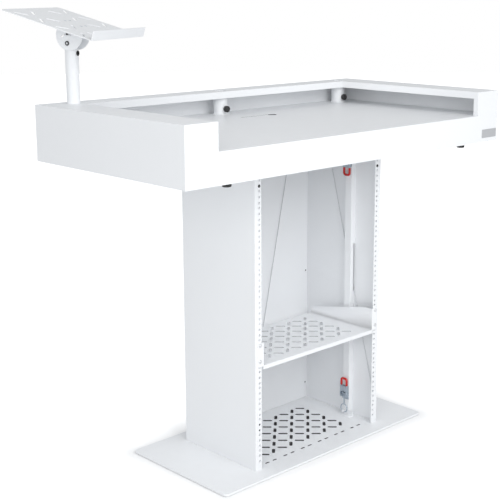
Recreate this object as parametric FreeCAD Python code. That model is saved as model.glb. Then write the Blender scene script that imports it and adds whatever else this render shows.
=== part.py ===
import FreeCAD, Part
import math
import os

V = FreeCAD.Vector

# Demountable presentation lectern: a steel base plate, an open 19-inch rack column, a rimmed steel desk
# and a perforated document tray on a pole. Millimetres. X to the right as the speaker's side is faced,
# Y to the rear, Z up. The origin is on the floor, under the middle of the base plate.

# base plate and its pads
base_width = 800.0
base_depth = 390.0
base_thickness = 6.0
base_corner = 12.0
pad_thickness = 2.0
pad_radius = 17.0
pad_inset = 35.0

# column and rack rails
column_width = 497.0
column_depth = 292.0
column_sheet = 2.0
rack_units = 18
rack_unit = 44.45
rack_hole_pitch = 465.1
rack_opening = 450.0
rack_hole_radius = 3.5
floor_gap = 18.0
head_gap = 15.9
rear_flange = 20.0
tab_length = 30.0
tab_place = 100.0
top_frame_depth_bar = 34.0
frame_lip = 12.0
panel_screw_radius = 2.5
panel_screw_head_radius = 4.5
panel_screw_head = 2.5
panel_screw_end = 50.0
locating_pin_radius = 4.0
locating_pin_length = 9.0
locating_pin_y = 80.0
locating_pin_inset = 9.0

# upright channels that carry the latches, and their diagonal bracing wires
channel_width = 25.0
channel_stand_off = 18.0
channel_place = -40.5
notch_depth = 6.0
notch_below = 12.0
notch_above = 38.0
wire_radius = 1.0
wire_gap = 1.8
anchor_radius = 5.0
anchor_head = 3.0
brace_drop = 16.0
brace_foot_share = 0.105
brace_top_share = 0.195
brace_foot_inset = 10.0
rear_brace_foot_x = 7.0
rear_brace_foot = 62.0
rear_brace_head_share = 0.342

# rack shelf, drawn to the width of a 19-inch panel
panel_width = 482.6
shelf_sheet = 2.0
shelf_depth = 248.0
shelf_rear_height = 21.0
shelf_front_lip = 9.0
shelf_side_gap = 4.0
shelf_shoulder = 30.0
ear_below_hole = 15.0
ear_above_hole = 6.0

# desk
desk_width = 1200.0
desk_depth = 605.0
desk_height = 148.0
desk_offset = 6.0
desk_sheet = 2.0
rim_side = 100.0
rim_back = 75.0
rim_lip = 20.0
well_depth = 69.0
post_return = 14.0
worktop_ledge = 15.0
ledge_inset = 10.0
bottom_flange = 35.0
cover_recess = 1.0
mount_plate_thickness = 3.0
mount_plate_half = 300.0
bearer_sheet = 2.5
bearer_flange = 30.0
bearer_place = 262.0
bearer_gap = 0.5
cable_hole_radius = 13.0
cable_hole_x = 100.0
cable_hole_y = 148.0
cable_slit_left = -18.0
cable_slit_width = 3.0
cable_slit_y = 156.0
label_width = 70.0
label_height = 25.0
label_sheet = 0.8
label_corner = 2.0
label_inset = 7.0
label_above_edge = 24.5

# sockets, pole and tray
socket_spacing = 510.0
socket_place = 264.0
socket_wall = 2.5
boss_radius = 6.5
boss_stand = 1.5
pole_radius = 17.5
pole_wall = 2.0
pole_clearance = 0.5
pole_cable_pass = 14.0
outlet_below_pivot = 26.0
outlet_radius = 5.5
grommet_lip = 1.5
grommet_flange = 1.2
grommet_seat = 0.2
grommet_wall = 1.5
grommet_neck = 1.5
pivot_height = 156.0
pole_above_pivot = 31.0
tray_width = 274.0
tray_depth = 266.0
tray_sheet = 2.0
tray_lip = 23.0
tray_turn = 25.5
tray_tilt = 15.9
tray_stand = 52.0
tray_offset = 4.0
tray_corner = 12.0
tray_slot_length = 38.0
tray_slot_width = 8.0
tray_screw_x = 11.0
tray_screw_y = 24.0
tray_screw_radius = 2.0
tray_screw_head_radius = 4.0
cheek_radius = 38.0
cheek_sheet = 2.5
cheek_centre = 20.0
cheek_gap = 0.5
tilt_low = -10.0
tilt_high = 60.0
stop_spare = 2.0
tilt_pin_reach = 23.0
tilt_bolt_radius = 4.0
tilt_bolt_head_radius = 6.0
tilt_bolt_head = 2.5
tilt_pin_radius = 1.6
tilt_pin_head_radius = 2.4
tilt_pin_head = 1.2

# screws and knobs
clamp_knob_radius = 9.5
clamp_knob_length = 11.5
clamp_knob_height = 17.0
cover_knob_radius = 11.5
cover_knob_length = 12.0
cover_knob_x = 455.0
cover_knob_inset = 25.0
cover_shank = 8.0
cover_flutes = 12
cover_flute_radius = 1.6
clamp_flutes = 10
clamp_flute_radius = 1.4
flute_stand_out = 0.55
knob_edge = 1.0
screw_radius = 3.0
screw_head_radius = 5.0
screw_head = 3.5
screw_length = 13.0
plug_radius = 4.2
plug_head = 1.2
plug_length = 5.0
fit_gap = 0.06
part_gap = 0.3

# toggle latches
latch_pivot_stand = 8.0
latch_reach = 60.0
latch_drop = 37.0
latch_throw = 7.0
latch_over_centre = -0.8
latch_base_width = 25.0
latch_base_sheet = 2.0
latch_base_below = 12.0
latch_base_above = 30.0
latch_ear_radius = 4.0
latch_pin_radius = 2.0
latch_rivet_radius = 3.2
latch_rivet_head = 1.0
latch_arm = 2.0
latch_arm_place = 10.3
latch_arm_radius = 4.5
latch_arm_length = 32.0
latch_bridge_from = 14.0
latch_barrel_radius = 2.5
ring_radius = 12.5
ring_wire = 1.5
ring_centre = -40.2
grip_length = 58.0
grip_radius = 3.5
grip_from = 33.0
prong_radius = 2.0
prong_from = 28.0
catch_sheet = 2.5
finger_width = 6.0
finger_depth = 4.0
finger_gap = 0.8
finger_reach = 10.4
finger_hook = 3.0
hook_sheet = 2.0
floor_foot_from = 15.0
floor_foot_to = 32.0
floor_foot_reach = 20.0
desk_catch_half = 7.0
desk_foot_reach = 22.0

# places worked out from the sizes above
base_top = pad_thickness + base_thickness
column_height = floor_gap + rack_units * rack_unit + head_gap
column_top = base_top + column_height
half_column = column_width / 2
wall_inside = half_column - column_sheet
column_front = -column_depth / 2
column_rear = column_depth / 2
web_face = wall_inside - channel_stand_off
desk_top = column_top + desk_height
well_floor = desk_top - well_depth
worktop_under = well_floor - desk_sheet
desk_half = desk_width / 2
desk_front = desk_offset - desk_depth / 2
desk_rear = desk_offset + desk_depth / 2
desk_inside = desk_half - desk_sheet
front_inside = desk_front + desk_sheet
rear_inside = desk_rear - desk_sheet
rim_edge_x = desk_half - rim_side
rim_edge_y = desk_rear - rim_back
frame_front = column_front + top_frame_depth_bar
frame_rear = column_rear - top_frame_depth_bar
flange_bottom = column_top + mount_plate_thickness
socket_inner = pole_radius + pole_clearance
socket_outer = socket_inner + socket_wall
pole_x = -socket_spacing
pivot_z = desk_top + pivot_height
latch_low_z = base_top + latch_reach
latch_high_z = column_top - latch_drop
rack_holes = 3 * rack_units
shelf_hole_low = rack_units + 1
shelf_hole_high = shelf_hole_low + 3
spare_hole = rack_holes - 3
locating_pin_x = web_face + locating_pin_inset


def box(x0, x1, y0, y1, z0, z1):
    """A block between two corners, whichever order they come in."""
    low = V(min(x0, x1), min(y0, y1), min(z0, z1))
    return Part.makeBox(abs(x1 - x0), abs(y1 - y0), abs(z1 - z0), low)


def rod(radius, start, end):
    """A round bar between two points."""
    along = end.sub(start)
    return Part.makeCylinder(radius, along.Length, start, along)


def join(shapes):
    """One solid from pieces that touch."""
    first = shapes[0]
    whole = first.multiFuse(shapes[1:]) if len(shapes) > 1 else first
    return whole.removeSplitter()


def mirrored(shape):
    """The same piece on the other side of the lectern."""
    return shape.mirror(V(0, 0, 0), V(1, 0, 0))


def slot(length, width, x, y, z0, z1, angle):
    """A cutter for a round-ended slot, length end to end, turned about Z."""
    half = (length - width) / 2
    body = box(-half, half, -width / 2, width / 2, z0, z1)
    ends = [Part.makeCylinder(width / 2, z1 - z0, V(side * half, 0, z0)) for side in (-1, 1)]
    cutter = join([body] + ends)
    cutter.rotate(V(0, 0, 0), V(0, 0, 1), angle)
    cutter.translate(V(x, y, 0))
    return cutter


def rounded_plate(x0, x1, y0, y1, z0, z1, radius):
    """A flat plate with its four upright corners rounded."""
    plate = box(x0, x1, y0, y1, z0, z1)
    upright = [e for e in plate.Edges if abs(e.BoundBox.ZLength - (z1 - z0)) < 1e-6]
    return plate.makeFillet(radius, upright)


def export(name, shapes):
    """Write one node: a single solid, or a group of separate like solids."""
    solids = shapes if isinstance(shapes, list) else [shapes]
    shape = solids[0] if len(solids) == 1 else Part.makeCompound(solids)
    shape.exportStep("parts/" + name + ".step")


def hole_z(number):
    """Height of a rack hole, counted up from the lowest one, which is number 0."""
    heights_in_unit = (6.35, 22.225, 38.1)
    unit, place = divmod(number, len(heights_in_unit))
    return base_top + floor_gap + unit * rack_unit + heights_in_unit[place]


# vent slots: a basket weave of round-ended slots, every other one turned the other way
vent_pitch_x = 34.8
vent_pitch_y = 33.8
vent_length = 28.0
vent_width = 9.0
vent_columns = 10
vent_rows = 6


def vent_slots(x_mid, y_mid, z0, z1, first):
    """Cutters for a block of vent slots centred on a point."""
    cutters = []
    for j in range(vent_rows):
        for i in range(vent_columns):
            x = x_mid + (i - (vent_columns - 1) / 2) * vent_pitch_x
            y = y_mid + (j - (vent_rows - 1) / 2) * vent_pitch_y
            turn = 45 if (i + j + first) % 2 == 0 else -45
            cutters.append(slot(vent_length, vent_width, x, y, z0, z1, turn))
    return cutters


def base():
    """Laser-cut steel plate: vents, a row of tie slots in front, and slots for the column's tabs."""
    plate = rounded_plate(-base_width / 2, base_width / 2, -base_depth / 2, base_depth / 2,
                          pad_thickness, base_top, base_corner)
    z0 = pad_thickness - 1
    z1 = base_top + 1
    cutters = vent_slots(0, 0, z0, z1, 1)
    tie_pairs = 6
    tie_length = 15.0
    tie_width = 5.0
    tie_apart = 28.4
    tie_from_front = 17.5
    tie_row = column_front + tie_from_front
    for pair in range(tie_pairs):
        middle = (pair - (tie_pairs - 1) / 2) * 2 * vent_pitch_x
        for side in (-1, 1):
            cutters.append(slot(tie_length, tie_width, middle + side * tie_apart / 2, tie_row, z0, z1, 0))
    for side in (-1, 1):
        wall = side * (half_column - column_sheet / 2)
        for y in (-tab_place, tab_place):
            reach = column_sheet / 2 + part_gap
            half = tab_length / 2 + part_gap
            cutters.append(box(wall - reach, wall + reach, y - half, y + half, z0, z1))
    export("base_plate", plate.cut(Part.makeCompound(cutters)))

    pads = []
    edge_x = base_width / 2 - pad_inset
    edge_y = base_depth / 2 - pad_inset
    for x, y in ((0, 0), (-edge_x, -edge_y), (edge_x, -edge_y), (-edge_x, edge_y), (edge_x, edge_y),
                 (0, -edge_y), (0, edge_y)):
        pads.append(Part.makeCylinder(pad_radius, pad_thickness, V(x, y, 0)))
    export("floor_pads", pads)


def column():
    """Two folded side walls with rack flanges, a rear panel and the frame that the desk stands on."""
    wall = [box(wall_inside, half_column, column_front, column_rear, base_top, column_top),
            box(rack_opening / 2, wall_inside, column_front, column_front + column_sheet,
                base_top, column_top),
            box(half_column - rear_flange, wall_inside, column_rear - column_sheet, column_rear,
                base_top, column_top)]
    for y in (-tab_place, tab_place):
        wall.append(box(wall_inside, half_column, y - tab_length / 2, y + tab_length / 2,
                        base_top - base_thickness + 1, base_top))
    holes = []
    hole_x = rack_hole_pitch / 2
    for number in range(rack_holes):
        start = V(hole_x, column_front - 1, hole_z(number))
        holes.append(rod(rack_hole_radius, start, start + V(0, column_sheet + 2, 0)))
    panel_screw_x = half_column - rear_flange / 2
    panel_screw_z = [base_top + panel_screw_end, base_top + column_height / 2,
                     column_top - panel_screw_end]
    panel_y = column_rear - column_sheet
    for z in panel_screw_z:
        start = V(panel_screw_x, panel_y - column_sheet - 1, z)
        holes.append(rod(panel_screw_radius + fit_gap, start, start + V(0, 2 * column_sheet + 2, 0)))
    right = join(wall).cut(Part.makeCompound(holes))
    export("right_side_wall", right)
    export("left_side_wall", mirrored(right))

    panel = box(-wall_inside + part_gap, wall_inside - part_gap, panel_y - column_sheet, panel_y,
                base_top + part_gap, column_top - column_sheet - part_gap)
    for side in (-1, 1):
        for z in panel_screw_z:
            start = V(side * panel_screw_x, panel_y - column_sheet - 1, z)
            panel = panel.cut(rod(panel_screw_radius + fit_gap, start, start + V(0, column_sheet + 2, 0)))
    export("rear_panel", panel)
    screws = []
    for side in (-1, 1):
        for z in panel_screw_z:
            shank_end = V(side * panel_screw_x, panel_y - column_sheet, z)
            seat = V(side * panel_screw_x, column_rear, z)
            head = rod(panel_screw_head_radius, seat, seat + V(0, panel_screw_head, 0))
            screws.append(join([rod(panel_screw_radius, shank_end, seat), head]))
    export("rear_panel_screws", screws)

    frame = box(-wall_inside + part_gap, wall_inside - part_gap, column_front + column_sheet + part_gap,
                column_rear - column_sheet - part_gap, column_top - column_sheet, column_top)
    frame = frame.cut(box(-web_face, web_face, frame_front, frame_rear, 0, column_top + 1))
    lips = [box(-web_face, web_face, y, y + side * column_sheet, column_top - column_sheet,
                column_top - column_sheet - frame_lip)
            for y, side in ((frame_front, -1), (frame_rear, 1))]
    pins = [Part.makeCylinder(locating_pin_radius, locating_pin_length,
                              V(side_x * locating_pin_x, side_y * locating_pin_y, column_top - column_sheet))
            for side_x in (-1, 1) for side_y in (-1, 1)]
    frame = join([frame] + lips).cut(Part.makeCompound(pins))
    export("column_top_frame", frame)
    export("desk_locating_pins", pins)

    z0 = base_top
    z1 = column_top - column_sheet
    y0 = channel_place - channel_width / 2
    y1 = channel_place + channel_width / 2
    channel = join([box(web_face, web_face + column_sheet, y0, y1, z0, z1),
                    box(web_face, wall_inside, y0, y0 + column_sheet, z0, z1),
                    box(web_face, wall_inside, y1 - column_sheet, y1, z0, z1)])
    wire = brace_line()
    wire_low = wire_height(wire, y0)
    wire_high = wire_height(wire, y1)
    notch = box(wall_inside - notch_depth, wall_inside + 1, y0 - 1, y1 + 1,
                wire_low - notch_below, wire_high + notch_above)
    channel = channel.cut(notch)
    export("right_upright_channel", channel)
    export("left_upright_channel", mirrored(channel))


def brace_line():
    """The side brace's two ends in the wall's plane: top rear and bottom front, as (y, z)."""
    top_z = column_top - brace_drop
    bottom_z = base_top + column_height * brace_foot_share
    return (column_depth * brace_top_share, top_z), (column_front + brace_foot_inset, bottom_z)


def wire_height(line, y):
    """Height at which the side brace crosses a depth."""
    (y_top, z_top), (y_low, z_low) = line
    return z_low + (y - y_low) * (z_top - z_low) / (y_top - y_low)


def braces():
    """Taut diagonal wires along both side walls and up the rear panel, on small round anchors."""
    wires = []
    anchors = []
    (y_top, z_top), (y_low, z_low) = brace_line()
    x_wire = wall_inside - wire_gap - wire_radius
    rear_face = column_rear - 2 * column_sheet
    y_wire = rear_face - wire_gap - wire_radius
    runs = [(V(x_wire, y_low, z_low), V(x_wire, y_top, z_top), V(1, 0, 0)),
            (V(rear_brace_foot_x, y_wire, base_top + rear_brace_foot),
             V(column_width * rear_brace_head_share, y_wire, z_top), V(0, 1, 0))]
    stand = wire_gap + wire_radius
    for low, high, outward in runs:
        along = high.sub(low)
        along.normalize()
        wire = rod(wire_radius, low.add(along * anchor_radius), high.sub(along * anchor_radius))
        wires += [wire, mirrored(wire)]
        for end in (low, high):
            anchor = rod(anchor_radius, end.sub(outward * anchor_head), end.add(outward * stand))
            anchors += [anchor, mirrored(anchor)]
    export("brace_wires", wires)
    export("brace_anchors", anchors)


def shelf():
    """A vented cantilever rack shelf folded from one sheet, its screws, and a plug in a hole above."""
    hole_low = hole_z(shelf_hole_low)
    hole_high = hole_z(shelf_hole_high)
    ear_bottom = hole_low - ear_below_hole
    ear_top = hole_high + ear_above_hole
    half = rack_opening / 2 - shelf_side_gap
    front = column_front - shelf_sheet
    rear = front + shelf_depth
    plate_top = ear_bottom + shelf_sheet
    vents_set_back = 4.0
    vent_middle = (front + rear) / 2 + vents_set_back
    plate = box(-half, half, front, rear, ear_bottom, plate_top)
    plate = plate.cut(Part.makeCompound(vent_slots(0, vent_middle, ear_bottom - 1, plate_top + 1, 0)))
    lip = box(-half, half, front, front + shelf_sheet, ear_bottom - shelf_front_lip, ear_bottom)
    sides = []
    ears = []
    for side in (-1, 1):
        outline = [V(side * half, front, ear_bottom), V(side * half, rear, ear_bottom),
                   V(side * half, rear, ear_bottom + shelf_rear_height),
                   V(side * half, front + shelf_shoulder, ear_top), V(side * half, front, ear_top)]
        face = Part.Face(Part.makePolygon(outline + outline[:1]))
        sides.append(face.extrude(V(-side * shelf_sheet, 0, 0)))
        ear = box(side * (half - shelf_sheet), side * panel_width / 2, front, front + shelf_sheet,
                  ear_bottom, ear_top)
        for z in (hole_low, hole_high):
            start = V(side * rack_hole_pitch / 2, front - 1, z)
            ear = ear.cut(rod(rack_hole_radius, start, start + V(0, shelf_sheet + 2, 0)))
        ears.append(ear)
    export("rack_shelf", join([plate, lip] + sides + ears))

    screws = []
    plugs = []
    for side in (-1, 1):
        for z in (hole_low, hole_high):
            seat = V(side * rack_hole_pitch / 2, front, z)
            head = rod(screw_head_radius, seat - V(0, screw_head, 0), seat)
            shank = rod(screw_radius, seat, seat + V(0, screw_length, 0))
            screws.append(join([head, shank]))
        seat = V(side * rack_hole_pitch / 2, column_front, hole_z(spare_hole))
        head = rod(plug_radius, seat - V(0, plug_head, 0), seat)
        stem = rod(rack_hole_radius - fit_gap, seat, seat + V(0, plug_length, 0))
        plugs.append(join([head, stem]))
    export("rack_screws", screws)
    export("rack_plugs", plugs)


def desk():
    """The desk's folded and welded shell, its worktop, and the frame that carries it."""
    bottom = column_top
    flange_top = flange_bottom + desk_sheet
    knob_front = desk_front + cover_knob_inset
    knob_rear = desk_rear - cover_knob_inset
    knob_holes = Part.makeCompound([
        Part.makeCylinder(screw_radius + fit_gap, 20, V(x, y, bottom - 5))
        for x in (-cover_knob_x, cover_knob_x) for y in (knob_front, knob_rear)])

    ledge_half = rim_edge_x - ledge_inset
    front = [box(-desk_half, desk_half, desk_front, front_inside, bottom, well_floor),
             box(-ledge_half, ledge_half, front_inside, front_inside + worktop_ledge,
                 worktop_under - desk_sheet, worktop_under),
             box(-desk_inside, desk_inside, front_inside, front_inside + bottom_flange,
                 flange_bottom, flange_top)]
    for side in (-1, 1):
        front.append(box(side * rim_edge_x, side * desk_half, desk_front, front_inside,
                         well_floor, desk_top))
        front.append(box(side * rim_edge_x, side * (rim_edge_x + desk_sheet), front_inside,
                         front_inside + post_return, worktop_under, desk_top - desk_sheet))
    export("desk_front_panel", join(front).cut(knob_holes))

    side_wall = join([box(desk_inside, desk_half, front_inside, rear_inside, bottom, desk_top),
                      box(desk_inside - bottom_flange, desk_inside, front_inside + bottom_flange,
                          rear_inside - bottom_flange, flange_bottom, flange_top)])
    export("desk_right_wall", side_wall)
    export("desk_left_wall", mirrored(side_wall))

    back = join([box(-desk_half, desk_half, rear_inside, desk_rear, bottom, desk_top),
                 box(-desk_inside, desk_inside, rear_inside - bottom_flange, rear_inside,
                     flange_bottom, flange_top)])
    export("desk_back_wall", back.cut(knob_holes))

    rim = box(-desk_inside, desk_inside, front_inside, rear_inside, desk_top - desk_sheet, desk_top)
    rim = rim.cut(box(-rim_edge_x, rim_edge_x, front_inside - 1, rim_edge_y, 0, desk_top + 1))
    lip_z = desk_top - rim_lip
    lips = [box(-rim_edge_x - desk_sheet, rim_edge_x + desk_sheet, rim_edge_y, rim_edge_y + desk_sheet,
                lip_z, desk_top)]
    for side in (-1, 1):
        lips.append(box(side * rim_edge_x, side * (rim_edge_x + desk_sheet),
                        front_inside + post_return, rim_edge_y, lip_z, desk_top))
    rim_holes = [Part.makeCylinder(socket_inner, 10, V(x, socket_place, desk_top - 5))
                 for x in (-socket_spacing, 0, socket_spacing)]
    export("desk_rim", join([rim] + lips).cut(Part.makeCompound(rim_holes)))

    top = box(-desk_inside, desk_inside, front_inside, rear_inside, worktop_under, well_floor)
    below = worktop_under - 2
    above = well_floor + 4
    openings = [Part.makeCylinder(socket_outer, above - below, V(x, socket_place, below))
                for x in (-socket_spacing, 0, socket_spacing)]
    openings.append(Part.makeCylinder(cable_hole_radius, above - below, V(cable_hole_x, cable_hole_y, below)))
    slit_half = cable_slit_width / 2
    openings.append(box(cable_slit_left, cable_hole_x, cable_slit_y - slit_half,
                        cable_slit_y + slit_half, below, above))
    for side in (-1, 1):
        openings.append(box(side * (rim_edge_x - part_gap), side * (rim_edge_x + desk_sheet + part_gap),
                            front_inside, front_inside + post_return + part_gap, below, above))
    export("worktop", top.cut(Part.makeCompound(openings)))

    bearer_front = front_inside + bottom_flange + bearer_gap
    bearer_rear = rear_inside - bottom_flange - bearer_gap
    bearer_out = bearer_place + bearer_flange
    bearer = join([box(bearer_place, bearer_place + bearer_sheet, bearer_front, bearer_rear,
                       flange_bottom, worktop_under),
                   box(bearer_place, bearer_out, bearer_front, bearer_rear,
                       flange_bottom, flange_bottom + bearer_sheet),
                   box(bearer_place, bearer_out, bearer_front, bearer_rear,
                       worktop_under - bearer_sheet, worktop_under)])
    export("right_bearer", bearer)
    export("left_bearer", mirrored(bearer))

    plate = box(-mount_plate_half, mount_plate_half, front_inside + part_gap, rear_inside - part_gap,
                bottom, flange_bottom)
    cutters = [box(-web_face, web_face, frame_front, frame_rear, bottom - 1, flange_bottom + 1)]
    for x in (-locating_pin_x, locating_pin_x):
        for y in (-locating_pin_y, locating_pin_y):
            cutters.append(Part.makeCylinder(locating_pin_radius + fit_gap, 10, V(x, y, bottom - 2)))
    export("desk_mount_plate", plate.cut(Part.makeCompound(cutters)))

    cover = box(mount_plate_half + part_gap, desk_inside - part_gap, front_inside + part_gap,
                rear_inside - part_gap, bottom + cover_recess, flange_bottom)
    cover = cover.cut(Part.makeCompound([
        Part.makeCylinder(screw_radius + part_gap, 20, V(cover_knob_x, y, bottom - 5))
        for y in (knob_front, knob_rear)]))
    export("right_bottom_cover", cover)
    export("left_bottom_cover", mirrored(cover))

    label_x = desk_half - label_inset
    label = rounded_plate(label_x - label_width, label_x, -label_height / 2, label_height / 2,
                          0, label_sheet, label_corner)
    label.rotate(V(0, 0, 0), V(1, 0, 0), 90)
    label.translate(V(0, desk_front, bottom + label_above_edge))
    export("label_plate", label)

    knob_names = (("front", knob_front), ("rear", knob_rear))
    for place, y in knob_names:
        knob = cover_knob()
        knob.translate(V(cover_knob_x, y, bottom + cover_recess))
        export("cover_knob_right_" + place, knob)
        other = cover_knob()
        other.translate(V(-cover_knob_x, y, bottom + cover_recess))
        export("cover_knob_left_" + place, other)


def fluted(radius, length, flutes, flute_radius):
    """A knob body standing up from the origin, with finger flutes cut down its side."""
    body = Part.makeCylinder(radius, length)
    body = body.makeChamfer(knob_edge, [e for e in body.Edges if len(e.Vertexes) == 1])
    cutters = []
    for k in range(flutes):
        turn = 2 * math.pi * k / flutes
        reach = radius + flute_radius * flute_stand_out
        place = V(reach * math.cos(turn), reach * math.sin(turn), -1)
        cutters.append(Part.makeCylinder(flute_radius, length + 2, place))
    return body.cut(Part.makeCompound(cutters))


def cover_knob():
    """A thumb screw under the desk: fluted head below, threaded shank up through the cover."""
    head = fluted(cover_knob_radius, cover_knob_length, cover_flutes, cover_flute_radius)
    head.translate(V(0, 0, -cover_knob_length))
    shank = Part.makeCylinder(screw_radius, cover_shank, V(0, 0, 0))
    return join([head, shank])


def sockets():
    """Three tubes welded through the worktop under the rear rim, each with a clamping thumb screw.

    A pole drops in from above and stands on the ring at the tube's foot.
    """
    knob_z = well_floor + clamp_knob_height
    boss_end = socket_outer + boss_stand
    for name, x in (("left", -socket_spacing), ("middle", 0), ("right", socket_spacing)):
        length = desk_top - desk_sheet - worktop_under
        sleeve = Part.makeCylinder(socket_outer, length, V(x, socket_place, worktop_under))
        boss = rod(boss_radius, V(x, socket_place, knob_z), V(x, socket_place - boss_end, knob_z))
        sleeve = join([sleeve, boss])
        sleeve = sleeve.cut(Part.makeCylinder(socket_inner, length, V(x, socket_place, well_floor)))
        sleeve = sleeve.cut(Part.makeCylinder(pole_cable_pass, length, V(x, socket_place, worktop_under - 1)))
        sleeve = sleeve.cut(rod(screw_radius + fit_gap, V(x, socket_place, knob_z),
                                V(x, socket_place - boss_end - 1, knob_z)))
        export("socket_" + name, sleeve)

        knob = fluted(clamp_knob_radius, clamp_knob_length, clamp_flutes, clamp_flute_radius)
        shank_length = boss_end - socket_inner
        shank = Part.makeCylinder(screw_radius, shank_length, V(0, 0, -shank_length))
        knob = join([knob, shank])
        knob.rotate(V(0, 0, 0), V(1, 0, 0), 90)
        knob.translate(V(x, socket_place - boss_end - part_gap, knob_z))
        export("clamp_knob_" + name, knob)


def turned(shape, tilt):
    """Take a shape drawn about the tray's pivot to its place on the pole."""
    placed = shape.copy()
    placed.rotate(V(0, 0, 0), V(1, 0, 0), tilt)
    placed.rotate(V(0, 0, 0), V(0, 0, 1), tray_turn)
    placed.translate(V(pole_x, socket_place, pivot_z))
    return placed


def pole():
    """A steel tube that turns in its socket, with a cable outlet and the tray's pivot bolt."""
    bottom = well_floor + part_gap - pivot_z
    beyond = 2 * pole_radius
    outlet_z = -outlet_below_pivot
    tube = Part.makeCylinder(pole_radius, pole_above_pivot - bottom, V(0, 0, bottom))
    tube = tube.cut(Part.makeCylinder(pole_radius - pole_wall, pole_above_pivot - bottom + 2,
                                      V(0, 0, bottom - 1)))
    pin_z = tilt_pin_reach
    cutters = [rod(tilt_bolt_radius, V(-beyond, 0, 0), V(beyond, 0, 0)),
               rod(tilt_pin_radius, V(-beyond, 0, pin_z), V(beyond, 0, pin_z)),
               rod(outlet_radius, V(0, 0, outlet_z), V(0, -beyond, outlet_z))]
    export("pole", turned(tube.cut(Part.makeCompound(cutters)), 0))

    flange_seat = pole_radius + grommet_seat
    neck_start = pole_radius - pole_wall - grommet_neck
    ring = join([rod(outlet_radius - fit_gap, V(0, -neck_start, outlet_z), V(0, -flange_seat, outlet_z)),
                 rod(outlet_radius + grommet_lip, V(0, -flange_seat, outlet_z),
                     V(0, -flange_seat - grommet_flange, outlet_z))])
    ring = ring.cut(rod(outlet_radius - grommet_wall, V(0, 0, outlet_z), V(0, -beyond, outlet_z)))
    export("pole_grommet", turned(ring, 0))

    cheek_out = pole_radius + cheek_gap + cheek_sheet
    head_seat = cheek_out + part_gap
    bolt = [rod(tilt_bolt_radius, V(-head_seat, 0, 0), V(head_seat, 0, 0))]
    pin = [rod(tilt_pin_radius, V(-head_seat, 0, pin_z), V(head_seat, 0, pin_z))]
    for side in (-1, 1):
        bolt.append(rod(tilt_bolt_head_radius, V(side * head_seat, 0, 0),
                        V(side * (head_seat + tilt_bolt_head), 0, 0)))
        pin.append(rod(tilt_pin_head_radius, V(side * head_seat, 0, pin_z),
                       V(side * (head_seat + tilt_pin_head), 0, pin_z)))
    export("tilt_bolt", turned(join(bolt), 0))
    export("tilt_stop_pin", turned(join(pin), 0))


def stop_slot(start, end, half):
    """Cutter for the curved slot that the stop pin runs in, centred on the pivot bolt."""
    def place(radius, angle):
        turn = math.radians(angle)
        return V(-beyond, radius * math.sin(turn), radius * math.cos(turn))

    beyond = 2 * pole_radius
    middle = (start + end) / 2
    outer = tilt_pin_reach + half
    inner = tilt_pin_reach - half
    edges = [Part.Arc(place(outer, start), place(outer, middle), place(outer, end)).toShape(),
             Part.LineSegment(place(outer, end), place(inner, end)).toShape(),
             Part.Arc(place(inner, end), place(inner, middle), place(inner, start)).toShape(),
             Part.LineSegment(place(inner, start), place(outer, start)).toShape()]
    sector = Part.Face(Part.Wire(edges)).extrude(V(2 * beyond, 0, 0))
    ends = [rod(half, place(tilt_pin_reach, a), place(tilt_pin_reach, a) + V(2 * beyond, 0, 0))
            for a in (start, end)]
    return join([sector] + ends)


def tray():
    """A perforated sheet with a turned-up front lip, on a forked bracket that tilts on the pole."""
    half = tray_width / 2
    front = tray_offset - tray_depth / 2
    rear = tray_offset + tray_depth / 2
    top = tray_stand
    under = top - tray_sheet
    sheet = box(-half, half, front, rear, under, top)
    back_corners = [e for e in sheet.Edges if abs(e.BoundBox.ZLength - tray_sheet) < 1e-6
                    and e.BoundBox.YMin > 0]
    sheet = sheet.makeFillet(tray_corner, back_corners)
    cutters = []
    slot_places = (-0.385, -0.19, 0.19, 0.385)
    first_row = 0.163
    row_step = 0.226
    for row in range(4):
        for column_index, share in enumerate(slot_places):
            x = share * tray_width
            y = front + (first_row + row * row_step) * tray_depth
            turn = -45 if (row + column_index) % 2 == 1 else 45
            cutters.append(slot(tray_slot_length, tray_slot_width, x, y, under - 1, top + 1, turn))
    screw_places = [(x, y) for x in (-tray_screw_x, tray_screw_x) for y in (-tray_screw_y, tray_screw_y)]
    for x, y in screw_places:
        cutters.append(Part.makeCylinder(tray_screw_head_radius, 10, V(x, y, under)))
    sheet = sheet.cut(Part.makeCompound(cutters))
    lip = box(-half, half, front, front + tray_sheet, under, top + tray_lip)
    export("tray", turned(join([sheet, lip]), tray_tilt))

    inner = pole_radius + cheek_gap
    outer = inner + cheek_sheet
    bracket = [box(-outer, outer, -cheek_radius, cheek_radius, under - cheek_sheet, under)]
    for side in (-1, 1):
        bracket.append(box(side * inner, side * outer, -cheek_radius, cheek_radius, cheek_centre, under))
        bracket.append(rod(cheek_radius, V(side * inner, 0, cheek_centre), V(side * outer, 0, cheek_centre)))
    above_sheet = box(-outer, outer, -cheek_radius, cheek_radius, under, under + cheek_radius)
    bracket = join(bracket).cut(above_sheet)
    beyond = 2 * pole_radius
    cutters = [rod(tilt_bolt_radius + fit_gap, V(-beyond, 0, 0), V(beyond, 0, 0)),
               stop_slot(tilt_low - stop_spare, tilt_high + stop_spare, tilt_pin_radius + part_gap)]
    for x, y in screw_places:
        cutters.append(Part.makeCylinder(tray_screw_radius, 10, V(x, y, under - 6)))
    export("tray_bracket", turned(bracket.cut(Part.makeCompound(cutters)), tray_tilt))

    screws = []
    shank_length = cheek_sheet + 1.5
    for x, y in screw_places:
        head = Part.makeCylinder(tray_screw_head_radius, tray_sheet, V(x, y, under))
        shank = Part.makeCylinder(tray_screw_radius, shank_length, V(x, y, under - shank_length))
        screws.append(turned(join([head, shank]), tray_tilt))
    export("tray_screws", screws)


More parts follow.
